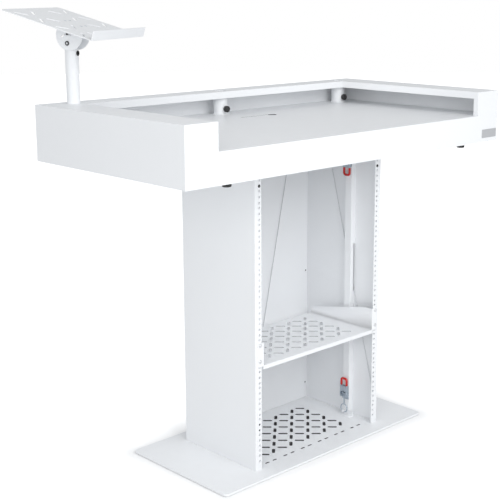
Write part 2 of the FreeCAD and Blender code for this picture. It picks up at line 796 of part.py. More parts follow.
def latch_place(shape, level, side):
    """Take a latch piece drawn about its lever pivot to one of the four latches."""
    placed = shape.copy()
    if level == "upper":
        placed = placed.mirror(V(0, 0, 0), V(0, 0, 1))
    height = latch_high_z if level == "upper" else latch_low_z
    placed.translate(V(latch_pivot_stand - web_face, channel_place, height))
    return mirrored(placed) if side == "right" else placed


def latches():
    """Four over-centre toggle latches: two pull the column down on the base, two hold the desk down."""
    half_base = latch_base_width / 2
    back = -latch_pivot_stand
    ear_in = latch_arm_place - 0.5 - latch_arm
    arm_in = latch_arm_place
    arm_out = latch_arm_place + latch_arm
    across = V(0, latch_base_width, 0)
    q_point = V(latch_over_centre, 0, latch_throw)

    base_parts = [box(back, back + latch_base_sheet, -half_base, half_base,
                      -latch_base_below, latch_base_above)]
    for side in (-1, 1):
        ear_y = side * ear_in
        ear_end = side * (ear_in + latch_arm)
        base_parts.append(box(back, 0, ear_y, ear_end, -latch_ear_radius, latch_ear_radius))
        base_parts.append(rod(latch_ear_radius, V(0, ear_y, 0), V(0, ear_end, 0)))
    base_shape = join(base_parts).cut(rod(latch_pin_radius, V(0, 0, 0) - across, across))

    rivets = []
    for side in (-1, 1):
        head_seat = side * (arm_out + part_gap)
        stem = rod(latch_pin_radius, V(0, side * (ear_in - 0.5), 0), V(0, head_seat, 0))
        head = rod(latch_rivet_radius, V(0, head_seat, 0), V(0, head_seat + side * latch_rivet_head, 0))
        rivets.append(join([stem, head]))

    prong_y = arm_out - prong_radius + 0.2
    prong_top = grip_length - grip_radius
    lever_parts = [box(latch_pin_radius + 0.5, latch_arm_radius, -arm_out, arm_out,
                       latch_bridge_from, latch_arm_length)]
    handle = []
    sleeve = []
    for side in (-1, 1):
        arm_y = side * arm_in
        arm_end = side * arm_out
        rod_y = side * prong_y
        lever_parts.append(box(-latch_arm_radius, latch_arm_radius, arm_y, arm_end, 0, latch_arm_length))
        lever_parts.append(rod(latch_arm_radius, V(0, arm_y, 0), V(0, arm_end, 0)))
        handle.append(rod(prong_radius, V(0, rod_y, prong_from), V(0, rod_y, prong_top)))
        handle.append(Part.makeSphere(prong_radius, V(0, rod_y, prong_top)))
        sleeve.append(rod(grip_radius, V(0, rod_y, grip_from), V(0, rod_y, prong_top)))
        sleeve.append(Part.makeSphere(grip_radius, V(0, rod_y, prong_top)))
    handle.append(rod(prong_radius, V(0, -prong_y, prong_top), V(0, prong_y, prong_top)))
    sleeve.append(rod(grip_radius, V(0, -prong_y, prong_top), V(0, prong_y, prong_top)))
    handle = join(handle)
    lever = join(lever_parts + [handle])
    for centre in (V(0, 0, 0), q_point):
        lever = lever.cut(rod(latch_pin_radius + fit_gap, centre - across, centre + across))
    grip = join(sleeve).cut(handle)

    barrel_half = V(0, arm_in - 0.5, 0)
    stub_half = V(0, arm_out, 0)
    barrel = rod(latch_barrel_radius, q_point - barrel_half, q_point + barrel_half)
    stub = rod(latch_pin_radius, q_point - stub_half, q_point + stub_half)
    ring_middle = V(latch_over_centre, 0, ring_centre)
    pull = rod(prong_radius, ring_middle + V(0, 0, ring_radius), q_point)
    eye = Part.makeTorus(ring_radius, ring_wire, ring_middle, V(1, 0, 0))
    loop = join([barrel, stub, pull, eye])

    finger_low = ring_centre - ring_radius + ring_wire + finger_gap
    finger_top = finger_low + finger_depth
    half_finger = finger_width / 2
    sheet_in = back + part_gap
    sheet_out = sheet_in + catch_sheet
    reach = sheet_out + finger_reach
    finger = [box(sheet_in, reach, -half_finger, half_finger, finger_low, finger_top),
              box(reach - hook_sheet, reach, -half_finger, half_finger, finger_low - finger_hook, finger_low)]
    low_foot = -latch_reach
    low_catch = join(finger + [
        box(sheet_in, sheet_out, -floor_foot_to, half_finger, low_foot, finger_top),
        box(sheet_in, back + floor_foot_reach, -floor_foot_to, -floor_foot_from,
            low_foot, low_foot + catch_sheet)])
    desk_foot = -(flange_bottom - latch_high_z)
    high_catch = join(finger + [
        box(sheet_in, sheet_out, -desk_catch_half, desk_catch_half, desk_foot, finger_top),
        box(back - desk_foot_reach, sheet_out, -desk_catch_half, desk_catch_half,
            desk_foot - catch_sheet, desk_foot)])

    bases = []
    pivots = []
    for level in ("lower", "upper"):
        for side in ("left", "right"):
            name = "latch_" + level + "_" + side
            bases.append(latch_place(base_shape, level, side))
            pivots += [latch_place(rivet, level, side) for rivet in rivets]
            export(name + "_lever", latch_place(lever, level, side))
            export(name + "_grip", latch_place(grip, level, side))
            export(name + "_loop", latch_place(loop, level, side))
    export("latch_bases", bases)
    export("latch_pivots", pivots)
    export("floor_catches", [latch_place(low_catch, "lower", side) for side in ("left", "right")])
    export("desk_catches", [latch_place(high_catch, "upper", side) for side in ("left", "right")])


os.makedirs("parts", exist_ok=True)
base()
column()
braces()
shelf()
desk()
sockets()
pole()
tray()
latches()
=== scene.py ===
import math

import bmesh
import bpy
from mathutils import Matrix, Vector


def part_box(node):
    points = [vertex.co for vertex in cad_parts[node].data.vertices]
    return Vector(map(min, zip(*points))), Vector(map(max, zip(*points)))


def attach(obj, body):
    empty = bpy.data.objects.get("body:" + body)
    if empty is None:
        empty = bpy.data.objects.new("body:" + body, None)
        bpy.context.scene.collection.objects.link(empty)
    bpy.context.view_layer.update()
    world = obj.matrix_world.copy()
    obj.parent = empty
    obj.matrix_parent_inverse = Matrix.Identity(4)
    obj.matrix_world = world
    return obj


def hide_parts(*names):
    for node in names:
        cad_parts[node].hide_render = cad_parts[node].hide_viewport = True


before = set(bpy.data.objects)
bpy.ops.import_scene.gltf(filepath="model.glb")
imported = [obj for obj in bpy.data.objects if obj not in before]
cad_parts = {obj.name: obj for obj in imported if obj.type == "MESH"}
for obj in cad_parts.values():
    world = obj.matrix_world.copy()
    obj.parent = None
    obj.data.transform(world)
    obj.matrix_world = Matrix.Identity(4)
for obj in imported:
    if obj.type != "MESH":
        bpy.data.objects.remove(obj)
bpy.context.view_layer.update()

# The studio: the lectern stands on a pale seamless floor in a white room, lit by large soft boxes.
# The camera stands off the left front corner of the desk, a little above it, with a long lens.
scene = bpy.context.scene
scene.view_settings.view_transform = "Standard"

camera_data = bpy.data.cameras.new("studio_camera")
camera_data.sensor_width = 36.0
camera_data.lens = 78.1
camera_data.shift_x = -0.055
camera_data.shift_y = -0.0708
camera = bpy.data.objects.new("studio_camera", camera_data)
camera.location = (-2.1122, -2.1331, 1.2849)
camera.rotation_euler = [math.radians(angle) for angle in (78.2, 0.0, -44.4)]
scene.collection.objects.link(camera)
scene.camera = camera


def add(tree, kind, inputs=None, **settings):
    """A new shader node with its settings, and the values of its inputs by name or number."""
    node = tree.nodes.new("ShaderNode" + kind)
    for label, value in settings.items():
        setattr(node, label, value)
    for label, value in (inputs or {}).items():
        node.inputs[label].default_value = value
    return node


seen_white = 1.0
room_light = 0.60
room = bpy.data.worlds.new("white_room")
scene.world = room
room.use_nodes = True
room_tree = room.node_tree
room_tree.nodes.clear()
walls = add(room_tree, "Background", {"Color": (0.97, 0.985, 1.0, 1.0), "Strength": room_light})
backdrop = add(room_tree, "Background", {"Color": (1.0, 1.0, 1.0, 1.0), "Strength": seen_white})
eye = add(room_tree, "LightPath")
either = add(room_tree, "MixShader")
room_out = add(room_tree, "OutputWorld")
room_tree.links.new(eye.outputs["Is Camera Ray"], either.inputs[0])
room_tree.links.new(walls.outputs[0], either.inputs[1])
room_tree.links.new(backdrop.outputs[0], either.inputs[2])
room_tree.links.new(either.outputs[0], room_out.inputs[0])


def soft_box(name, place, target, size, power, tint=(1.0, 1.0, 1.0)):
    """A large square lamp that faces a point."""
    lamp = bpy.data.lights.new(name, "AREA")
    lamp.size = size
    lamp.energy = power
    lamp.color = tint
    box = bpy.data.objects.new(name, lamp)
    box.location = place
    box.rotation_euler = (Vector(target) - Vector(place)).to_track_quat("-Z", "Y").to_euler()
    scene.collection.objects.link(box)


soft_box("front_soft_box", (-0.4, -3.2, 3.1), (0.0, 0.0, 0.7), 2.2, 43.0)
soft_box("camera_soft_box", (-2.4, -3.0, 2.7), (0.1, 0.0, 0.6), 2.6, 20.0)
soft_box("left_soft_box", (-4.0, -2.1, 1.9), (0.2, 0.0, 0.6), 2.0, 32.0)
soft_box("column_soft_box", (-0.5, -2.1, 1.15), (0.05, 0.0, 0.3), 0.9, 6.5)


# The studio floor: seamless pale paper. Under the plate it is painted dark grey, a painted shade
# for the shadow that falls there. Past the plate it also glows for the camera alone, so that it
# fades into the backdrop.
floor_radius = 14.0
floor_mesh = bmesh.new()
bmesh.ops.create_circle(floor_mesh, cap_ends=True, segments=96, radius=floor_radius)
floor_data = bpy.data.meshes.new("studio_floor")
floor_mesh.to_mesh(floor_data)
floor_mesh.free()
studio_floor = bpy.data.objects.new("studio_floor", floor_data)
scene.collection.objects.link(studio_floor)

paper = bpy.data.materials.new("seamless_paper")
paper.use_nodes = True
tree = paper.node_tree
surface = tree.nodes["Principled BSDF"]
surface.inputs["Roughness"].default_value = 0.9
surface.inputs["Specular IOR Level"].default_value = 0.1
fibres = add(tree, "TexNoise", {"Scale": 60.0, "Detail": 4.0})
paper_tone = add(tree, "ValToRGB")
paper_tone.color_ramp.elements[0].color = (0.90, 0.905, 0.91, 1.0)
paper_tone.color_ramp.elements[1].color = (0.94, 0.94, 0.94, 1.0)
tree.links.new(fibres.outputs["Fac"], paper_tone.inputs[0])
# Painted shade: inside the plate's footprint the floor colour is a dark grey, standing in for the
# shadow under the plate.
plate_footprint_half_size = (0.385, 0.180, 0.0)
painted_shade_edge = 0.004
painted_shade_tone = (0.17, 0.17, 0.175, 1.0)
where = add(tree, "TexCoord")
one_side = add(tree, "VectorMath", operation="ABSOLUTE")
past_plate = add(tree, "VectorMath", {1: plate_footprint_half_size}, operation="SUBTRACT")
outside = add(tree, "VectorMath", {1: (0.0, 0.0, 0.0)}, operation="MAXIMUM")
distance = add(tree, "VectorMath", operation="LENGTH")
tree.links.new(where.outputs["Object"], one_side.inputs[0])
tree.links.new(one_side.outputs[0], past_plate.inputs[0])
tree.links.new(past_plate.outputs[0], outside.inputs[0])
tree.links.new(outside.outputs[0], distance.inputs[0])
painted_shade_mask = add(tree, "MapRange", {"From Min": 0.0, "From Max": painted_shade_edge})
tree.links.new(distance.outputs["Value"], painted_shade_mask.inputs["Value"])
open_floor = add(tree, "Mix", {6: painted_shade_tone}, data_type="RGBA")
tree.links.new(painted_shade_mask.outputs[0], open_floor.inputs[0])
tree.links.new(paper_tone.outputs[0], open_floor.inputs[7])
tree.links.new(open_floor.outputs[2], surface.inputs["Base Color"])
glow_reach = 0.18
glow_strength = 0.8
fade = add(tree, "MapRange", {"From Min": 0.0, "From Max": glow_reach, "To Max": glow_strength})
seen = add(tree, "LightPath")
glow = add(tree, "Math", operation="MULTIPLY")
tree.links.new(distance.outputs["Value"], fade.inputs["Value"])
tree.links.new(fade.outputs[0], glow.inputs[0])
tree.links.new(seen.outputs["Is Camera Ray"], glow.inputs[1])
surface.inputs["Emission Color"].default_value = (1.0, 1.0, 1.0, 1.0)
tree.links.new(glow.outputs[0], surface.inputs["Emission Strength"])
floor_data.materials.append(paper)


# The base plate: 6 mm steel plate, laser cut with vents, tie slots and slots for the column's tabs
# and powder coated, as every white piece is: a baked satin film with fine orange peel, thinner on
# edges, on which dust settles. The walls of its vents are painted dark, in the grey of bare cut
# steel, as a painted shade for the shadow inside the vents.
def shader_group(name, inputs, outputs):
    """An empty shader group with named number inputs and outputs, and its two end nodes."""
    group = bpy.data.node_groups.new(name, "ShaderNodeTree")
    for label, value in inputs.items():
        socket = group.interface.new_socket(label, in_out="INPUT", socket_type="NodeSocketFloat")
        socket.default_value = value
    for label in outputs:
        group.interface.new_socket(label, in_out="OUTPUT", socket_type="NodeSocketFloat")
    return group, group.nodes.new("NodeGroupInput"), group.nodes.new("NodeGroupOutput")


def grain_group():
    """Two sizes of bumps for the height of a surface, and a slow mottle for its tone and gloss."""
    inputs = {"Coarse": 400.0, "Fine": 1600.0, "Mottle Scale": 4.0}
    group, start, end = shader_group("surface_grain", inputs, ["Height", "Mottle"])
    place = add(group, "TexCoord")
    coarse = add(group, "TexNoise", {"Detail": 1.5, "Roughness": 0.5})
    fine = add(group, "TexNoise", {"Detail": 1.0})
    mottle = add(group, "TexNoise", {"Detail": 4.0, "Roughness": 0.6})
    for texture, scale in ((coarse, "Coarse"), (fine, "Fine"), (mottle, "Mottle Scale")):
        group.links.new(place.outputs["Object"], texture.inputs["Vector"])
        group.links.new(start.outputs[scale], texture.inputs["Scale"])
    height = add(group, "Mix", {0: 0.3}, data_type="FLOAT")
    group.links.new(coarse.outputs["Fac"], height.inputs[2])
    group.links.new(fine.outputs["Fac"], height.inputs[3])
    group.links.new(height.outputs[0], end.inputs["Height"])
    group.links.new(mottle.outputs["Fac"], end.inputs["Mottle"])
    return group


def edge_wear_group():
    """A mask of the edges and corners where a finish rubs thin, broken up along their length."""
    group, start, end = shader_group("edge_wear", {"Reach": 0.001, "Patches": 90.0}, ["Worn"])
    rounded = add(group, "Bevel", samples=4)
    flat = add(group, "NewGeometry")
    same = add(group, "VectorMath", operation="DOT_PRODUCT")
    group.links.new(start.outputs["Reach"], rounded.inputs["Radius"])
    group.links.new(rounded.outputs["Normal"], same.inputs[0])
    group.links.new(flat.outputs["Normal"], same.inputs[1])
    edge = add(group, "MapRange", {"From Min": 0.995, "From Max": 0.86})
    group.links.new(same.outputs["Value"], edge.inputs["Value"])
    place = add(group, "TexCoord")
    patches = add(group, "TexNoise", {"Detail": 3.0})
    group.links.new(place.outputs["Object"], patches.inputs["Vector"])
    group.links.new(start.outputs["Patches"], patches.inputs["Scale"])
    broken = add(group, "MapRange", {"From Min": 0.38, "From Max": 0.62})
    group.links.new(patches.outputs["Fac"], broken.inputs["Value"])
    worn = add(group, "Math", operation="MULTIPLY")
    group.links.new(edge.outputs[0], worn.inputs[0])
    group.links.new(broken.outputs[0], worn.inputs[1])
    group.links.new(worn.outputs[0], end.inputs["Worn"])
    return group


def dust_group():
    """A mask of the dust that lies on upward faces, thicker in corners."""
    inputs = {"Corner Reach": 0.03, "Clumps": 35.0}
    group, start, end = shader_group("settled_dust", inputs, ["Dust"])
    face = add(group, "NewGeometry")
    parts = add(group, "SeparateXYZ")
    group.links.new(face.outputs["Normal"], parts.inputs[0])
    upward = add(group, "MapRange", {"From Min": 0.5, "From Max": 0.95})
    group.links.new(parts.outputs["Z"], upward.inputs["Value"])
    corners = add(group, "AmbientOcclusion", samples=4)
    group.links.new(start.outputs["Corner Reach"], corners.inputs["Distance"])
    sheltered = add(group, "MapRange", {"From Min": 1.0, "From Max": 0.45, "To Min": 0.25})
    group.links.new(corners.outputs["AO"], sheltered.inputs["Value"])
    place = add(group, "TexCoord")
    clumps = add(group, "TexNoise", {"Detail": 5.0, "Roughness": 0.7})
    group.links.new(place.outputs["Object"], clumps.inputs["Vector"])
    group.links.new(start.outputs["Clumps"], clumps.inputs["Scale"])
    spread = add(group, "MapRange", {"From Min": 0.35, "From Max": 0.75})
    group.links.new(clumps.outputs["Fac"], spread.inputs["Value"])
    lying = add(group, "Math", operation="MULTIPLY")
    group.links.new(upward.outputs[0], lying.inputs[0])
    group.links.new(sheltered.outputs[0], lying.inputs[1])
    dust = add(group, "Math", operation="MULTIPLY")
    group.links.new(lying.outputs[0], dust.inputs[0])
    group.links.new(spread.outputs[0], dust.inputs[1])
    group.links.new(dust.outputs[0], end.inputs["Dust"])
    return group


surface_grain = grain_group()
edge_wear = edge_wear_group()
settled_dust = dust_group()


def use_group(tree, group, **values):
    """A shader group placed in a material with its own values."""
    node = tree.nodes.new("ShaderNodeGroup")
    node.node_tree = group
    for label, value in values.items():
        node.inputs[label.replace("_", " ")].default_value = value
    return node


def blended(tree, mask, below, above, share):
    """Colour above laid over colour below by a share of the mask; either may be a socket."""
    amount = add(tree, "Math", {1: share}, operation="MULTIPLY")
    tree.links.new(mask, amount.inputs[0])
    mix = add(tree, "Mix", data_type="RGBA")
    tree.links.new(amount.outputs[0], mix.inputs[0])
    for number, colour in ((6, below), (7, above)):
        if isinstance(colour, bpy.types.NodeSocket):
            tree.links.new(colour, mix.inputs[number])
        else:
            mix.inputs[number].default_value = (*colour, 1.0)
    return mix.outputs[2]


dust_tone = (0.60, 0.59, 0.57)


def finish(name, tones, worn, gloss, grain, bump, wear=0.5, dust=0.3, metal=0.0):
    """A finish with grain, worn edges and dust. Tones are two colours the mottle runs between,
    gloss is the roughness range, grain the coarse, fine and mottle scales, and bump the grain's
    depth in metres."""
    material = bpy.data.materials.new(name)
    material.use_nodes = True
    tree = material.node_tree
    surface = tree.nodes["Principled BSDF"]
    surface.inputs["Metallic"].default_value = metal
    texture = use_group(tree, surface_grain, Coarse=grain[0], Fine=grain[1], Mottle_Scale=grain[2])
    edges = use_group(tree, edge_wear)
    lying = use_group(tree, settled_dust)
    colour = blended(tree, texture.outputs["Mottle"], tones[0], tones[1], 1.0)
    colour = blended(tree, edges.outputs["Worn"], colour, worn, wear)
    colour = blended(tree, lying.outputs["Dust"], colour, dust_tone, dust)
    tree.links.new(colour, surface.inputs["Base Color"])
    rough = add(tree, "MapRange", {"From Min": 0.3, "From Max": 0.7,
                                   "To Min": gloss[0], "To Max": gloss[1]})
    tree.links.new(texture.outputs["Mottle"], rough.inputs["Value"])
    tree.links.new(rough.outputs[0], surface.inputs["Roughness"])
    relief = add(tree, "Bump", {"Strength": 1.0, "Distance": bump})
    tree.links.new(texture.outputs["Height"], relief.inputs["Height"])
    tree.links.new(relief.outputs["Normal"], surface.inputs["Normal"])
    return material


white_coat = finish("white_powder_coat", ((0.868, 0.883, 0.903), (0.893, 0.908, 0.927)),
                    (0.70, 0.71, 0.73), (0.36, 0.46), (420.0, 1500.0, 3.0), 0.00003,
                    wear=0.35, dust=0.22)


def fitted(name, made, materials, body, slot_name, *nodes):
    """Turns mesh data into a piece that rides on its body and stands for its CAD nodes."""
    data = bpy.data.meshes.new(name)
    for material in materials:
        data.materials.append(material)
    made.to_mesh(data)
    made.free()
    piece = bpy.data.objects.new(name, data)
    scene.collection.objects.link(piece)
    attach(piece, body)
    if nodes:
        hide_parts(*nodes)
    return piece


same_point = 0.000002


def welded_copy(node):
    """The node's own shape as one closed mesh, its doubled points merged."""
    made = bmesh.new()
    made.from_mesh(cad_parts[node].data)
    bmesh.ops.remove_doubles(made, verts=made.verts, dist=same_point)
    return made


flat_angle = math.radians(0.4)
sharp_angle = math.radians(35)
upright_slope = 0.3
flat_face_weight = 80


def eased(name, made, materials, body, slot_name, nodes,
          sheet=0.0032, cut=0.0003, fold=0.0012, cuts=None):
    """A piece whose folds get their bend radius and whose cut edges are broken. A face narrower
    than sheet has cut edges. Upright faces in the cuts box, low and high, are of the second
    material."""
    bmesh.ops.dissolve_limit(made, angle_limit=flat_angle, verts=made.verts, edges=made.edges,
                             delimit={"NORMAL"})
    weight = made.edges.layers.float.new("bevel_weight_edge")
    narrow = {f for f in made.faces if 2 * f.calc_area() / max(f.calc_perimeter(), 1e-9) < sheet}
    for edge in made.edges:
        sharp = len(edge.link_faces) == 2 and edge.calc_face_angle() > sharp_angle
        if sharp and edge.is_convex:
            edge[weight] = cut / fold if narrow.intersection(edge.link_faces) else 1.0
        elif sharp:
            edge.smooth = False
    for face in made.faces:
        face.smooth = True
        if cuts and abs(face.normal.z) < upright_slope:
            centre = face.calc_center_bounds()
            if all(low < at < high for low, at, high in zip(cuts[0], centre, cuts[1])):
                face.material_index = 1
    piece = fitted(name, made, materials, body, slot_name, *nodes)
    bends = piece.modifiers.new("eased_edges", "BEVEL")
    bends.width = fold
    bends.segments = 3
    bends.limit_method = "WEIGHT"
    flats = piece.modifiers.new("flat_faces", "WEIGHTED_NORMAL")
    flats.weight = flat_face_weight
    flats.keep_sharp = True
    return piece


def eased_node(node, ending, materials, body, slot_name, **edges):
    """A piece eased from one CAD node, for which it stands."""
    eased(node + ending, welded_copy(node), materials, body, slot_name, [node], **edges)


# Painted shade: this near-black colour goes on the walls of the base plate's vents and of the
# worktop's cable hole, standing in for the shadow inside them.
painted_shade_cut_edge = finish("cut_steel_painted_shade", ((0.10, 0.10, 0.105), (0.16, 0.16, 0.165)), (0.26, 0.26, 0.26),
                  (0.5, 0.65), (900.0, 2600.0, 30.0), 0.00004, wear=0.3, dust=0.2, metal=0.2)
plate_sheet = 0.007
vented = (Vector((-0.242, -0.140, 0.0)), Vector((0.242, 0.144, 0.009)))
eased_node("base_plate", "_coated", [white_coat, painted_shade_cut_edge], "lectern", "white_powder_coat",
           sheet=plate_sheet, cut=0.0006, fold=0.0008, cuts=vented)


# The floor pads: black rubber discs glued under the base plate, with a rounded rim and a dished
# face, so that the plate sits flat and the floor isn't scratched.
def spun(made, rows, steps, place, shaping=None, material_index=0):
    """Adds a surface spun about the place's Z axis. Rows are (radius, height), and shaping may
    move a point, given its radius, height and angle."""
    rings = []
    for radius, height in rows:
        ring = []
        for step in range(steps if radius > 0 else 1):
            angle = 2 * math.pi * step / steps
            r, h = shaping(radius, height, angle) if shaping else (radius, height)
            point = Vector((r * math.cos(angle), r * math.sin(angle), h))
            ring.append(made.verts.new(place @ point))
        rings.append(ring)
    for low, high in zip(rings, rings[1:]):
        for step in range(steps):
            after = (step + 1) % steps
            corners = (low[step % len(low)], low[after % len(low)],
                       high[after % len(high)], high[step % len(high)])
            face = made.faces.new(list(dict.fromkeys(corners)))
            face.smooth = True
            face.material_index = material_index
    return made


def aimed(point, direction):
    """The place at a point whose Z axis runs along a direction."""
    turn = Vector(direction).to_track_quat("Z", "Y").to_matrix().to_4x4()
    return Matrix.Translation(point) @ turn


rubber = finish("black_rubber", ((0.018, 0.018, 0.019), (0.032, 0.032, 0.033)), (0.07, 0.07, 0.07),
                (0.6, 0.78), (900.0, 3000.0, 20.0), 0.00004, wear=0.4, dust=0.4)
pad_low, pad_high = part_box("floor_pads")
pad_radius = 0.017
pad_height = pad_high.z - pad_low.z
pads = bmesh.new()
pad_reach = pad_high - Vector((pad_radius, pad_radius, 0.0))
pad_places = [(0, 0), (0, -1), (0, 1), (-1, -1), (1, -1), (-1, 1), (1, 1)]
pad_rows = [(0.0, 0.0004), (0.010, 0.0004), (0.012, 0.0), (0.0155, 0.0), (0.0168, 0.0005),
            (pad_radius, 0.001), (pad_radius, pad_height), (0.0, pad_height)]
for across, along in pad_places:
    spun(pads, pad_rows, 40, Matrix.Translation((across * pad_reach.x, along * pad_reach.y, 0.0)))
fitted("floor_pads_moulded", pads, [rubber], "lectern", "black_rubber", "floor_pads")


# The column: two side walls folded from 2 mm sheet, each with a rack flange full of holes in front
# and a return at the back, a rear panel screwed to the returns, and a lipped frame on top. An
# upright channel runs up inside each side wall. All are powder coated white.
for node in ("left_side_wall", "right_side_wall", "rear_panel", "column_top_frame",
             "left_upright_channel", "right_upright_channel"):
    eased_node(node, "_coated", [white_coat], "lectern", "white_powder_coat")


# The screws: pan heads with a cross recess and a threaded shank. Six small ones of black oxide
# steel hold the rear panel, and four zinc-plated ones hold the shelf's ears to the rack flanges.
thread_pitch = 0.001
thread_depth = 0.00045
thread_lead = 0.0006
tip_step = 0.0007


def threaded_shank(made, place, radius, length, thread_top, material_index=0):
    """Adds a shank of the length below the place, with a thread that runs out at thread_top."""
    def threaded(r, h, angle):
        ridge = abs(((h / thread_pitch + angle / (2 * math.pi)) % 1.0) * 2 - 1)
        cut = 0 < r and -length + thread_lead < h < thread_top
        return (r - thread_depth * (1 - ridge) if cut else r), h

    count = int(length / thread_pitch * 4)
    rows = [(0.0, -length), (radius - tip_step, -length)]
    for k in range(count + 1):
        rows.append((radius, -length + thread_lead + (length - thread_lead) * k / count))
    spun(made, rows, 20, place, threaded, material_index=material_index)


def cross_screw(made, seat, outward, radius, height, shank_radius, length):
    """Adds one screw: its head stands on the seat, and its shank runs the other way."""
    arm = 0.17 * radius
    reach = 0.55 * radius

    def recessed(r, h, angle):
        short, long = sorted((abs(r * math.cos(angle)), abs(r * math.sin(angle))))
        inside = long < reach and short < arm * (1.25 - 0.6 * long / reach)
        return (r, h - 0.55 * height) if inside and h > 0.9 * height else (r, h)

    top = [(share * radius, height * (1.0 - 0.1 * share * share)) for share in
           (0.66, 0.6, 0.54, 0.48, 0.42, 0.36, 0.30, 0.25, 0.20, 0.16, 0.12, 0.08, 0.04, 0.0)]
    rows = [(shank_radius, 0.0), (0.93 * radius, 0.0), (radius, 0.08 * height),
            (radius, 0.38 * height), (0.97 * radius, 0.58 * height), (0.90 * radius, 0.74 * height),
            (0.78 * radius, 0.86 * height)]
    place = aimed(seat, outward)
    plain_neck = 0.0004
    spun(made, rows + top, 48, place, recessed)
    threaded_shank(made, place, shank_radius, length, -plain_neck)


black_oxide = finish("black_oxide_steel", ((0.022, 0.022, 0.025), (0.045, 0.045, 0.05)),
                     (0.22, 0.22, 0.23), (0.34, 0.5), (1500.0, 5000.0, 60.0), 0.000015,
                     wear=0.7, dust=0.1, metal=0.6)
panel_low, panel_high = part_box("rear_panel_screws")
panel_head_radius = 0.0045
panel_head = 0.0025
panel_shank_radius = 0.0025
panel_screw_x = panel_high.x - panel_head_radius
panel_screw_low = panel_low.z + panel_head_radius
panel_screw_high = panel_high.z - panel_head_radius
panel_seat = panel_high.y - panel_head
panel_screws = bmesh.new()
for side in (-1, 1):
    for height in (panel_screw_low, (panel_screw_low + panel_screw_high) / 2, panel_screw_high):
        cross_screw(panel_screws, (side * panel_screw_x, panel_seat, height), (0, 1, 0),
                    panel_head_radius, panel_head, panel_shank_radius, panel_seat - panel_low.y)
fitted("rear_panel_screws_turned", panel_screws, [black_oxide], "lectern", "black_steel",
       "rear_panel_screws")

zinc = finish("zinc_plate", ((0.40, 0.47, 0.54), (0.62, 0.68, 0.74)), (0.78, 0.80, 0.83),
              (0.24, 0.42), (500.0, 2600.0, 45.0), 0.00002, wear=0.6, dust=0.1, metal=0.9)
plated_screw = finish("plated_screw", ((0.70, 0.71, 0.73), (0.80, 0.81, 0.82)), (0.86, 0.86, 0.87),
                      (0.30, 0.45), (800.0, 3000.0, 60.0), 0.00001, wear=0.6, dust=0.1, metal=0.55)
rack_low, rack_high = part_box("rack_screws")
rack_head_radius = 0.005
rack_head = 0.0035
rack_shank_radius = 0.003
rack_unit = 0.04445
rack_screw_x = rack_high.x - rack_head_radius
ear_seat = rack_low.y + rack_head
rack_screws = bmesh.new()
for side in (-1, 1):
    for height in (rack_low.z + rack_head_radius, rack_low.z + rack_head_radius + rack_unit):
        cross_screw(rack_screws, (side * rack_screw_x, ear_seat, height), (0, -1, 0),
                    rack_head_radius, rack_head, rack_shank_radius, rack_high.y - ear_seat)
fitted("rack_screws_turned", rack_screws, [plated_screw], "lectern", "zinc_plate", "rack_screws")


# The rack plugs: two black moulded caps pushed into spare holes near the top of the rack flanges,
# each with a thin domed head and a waisted stem that grips the hole.
black_plastic = finish("black_moulded_plastic", ((0.020, 0.020, 0.021), (0.034, 0.034, 0.036)),
                       (0.10, 0.10, 0.10), (0.42, 0.56), (1300.0, 4200.0, 40.0), 0.00003,
                       wear=0.5, dust=0.15)
plug_low, plug_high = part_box("rack_plugs")
plug_radius = (plug_high.z - plug_low.z) / 2
plug_head = 0.0012
stem_radius = 0.003
stem_length = plug_high.y - plug_low.y - plug_head
plug_rows = [(0.0, -stem_length), (0.8 * stem_radius, -stem_length),
             (stem_radius, -0.8 * stem_length), (0.85 * stem_radius, -0.5 * stem_length),
             (0.9 * stem_radius, 0.0), (plug_radius, 0.0), (plug_radius, 0.35 * plug_head),
             (0.9 * plug_radius, 0.7 * plug_head), (0.6 * plug_radius, 0.93 * plug_head),
             (0.3 * plug_radius, plug_head), (0.0, plug_head)]
plug_z = (plug_low.z + plug_high.z) / 2
plugs = bmesh.new()
for side in (-1, 1):
    seat = (side * (plug_high.x - plug_radius), plug_low.y + plug_head, plug_z)
    spun(plugs, plug_rows, 36, aimed(seat, (0, -1, 0)))
fitted("rack_plugs_moulded", plugs, [black_plastic], "lectern", "black_plastic", "rack_plugs")


# The bracing wires: twisted steel wire just under 2 mm thick, pulled taut across both side walls
# and up the rear panel. Each end is swaged in a ferrule and held by a round zinc-plated anchor, and
# the pins that locate the desk on the column are plated like them.
wire_radius = 0.0009
wire_sides = 12
wire_spans = 40
strand_lay = 0.014
ferrule = [(0.0, 0.0), (0.0016, 0.0), (0.0019, 0.0004), (0.0019, 0.004), (0.0016, 0.0046),
           (0.0019, 0.0052), (0.0019, 0.0095), (0.0011, 0.0105), (0.0, 0.0105)]
wire_material = bpy.data.materials.new("twisted_wire")
wire_material.use_nodes = True
tree = wire_material.node_tree
surface = tree.nodes["Principled BSDF"]
surface.inputs["Metallic"].default_value = 0.35
along_wire = add(tree, "UVMap", uv_map="strand")
strands = add(tree, "TexWave", {"Scale": 3.0, "Distortion": 0.0, "Detail": 0.0},
              wave_type="BANDS", bands_direction="DIAGONAL")
tree.links.new(along_wire.outputs[0], strands.inputs["Vector"])
strand_tone = add(tree, "ValToRGB")
strand_tone.color_ramp.elements[0].color = (0.58, 0.59, 0.61, 1.0)
strand_tone.color_ramp.elements[1].color = (0.82, 0.83, 0.85, 1.0)
tree.links.new(strands.outputs["Fac"], strand_tone.inputs[0])
tree.links.new(strand_tone.outputs[0], surface.inputs["Base Color"])
strand_gloss = add(tree, "MapRange", {"To Min": 0.5, "To Max": 0.3})
tree.links.new(strands.outputs["Fac"], strand_gloss.inputs["Value"])
tree.links.new(strand_gloss.outputs[0], surface.inputs["Roughness"])
strand_relief = add(tree, "Bump", {"Strength": 1.0, "Distance": 0.0003})
tree.links.new(strands.outputs["Fac"], strand_relief.inputs["Height"])
tree.links.new(strand_relief.outputs["Normal"], surface.inputs["Normal"])


bar_end_reach = 0.01


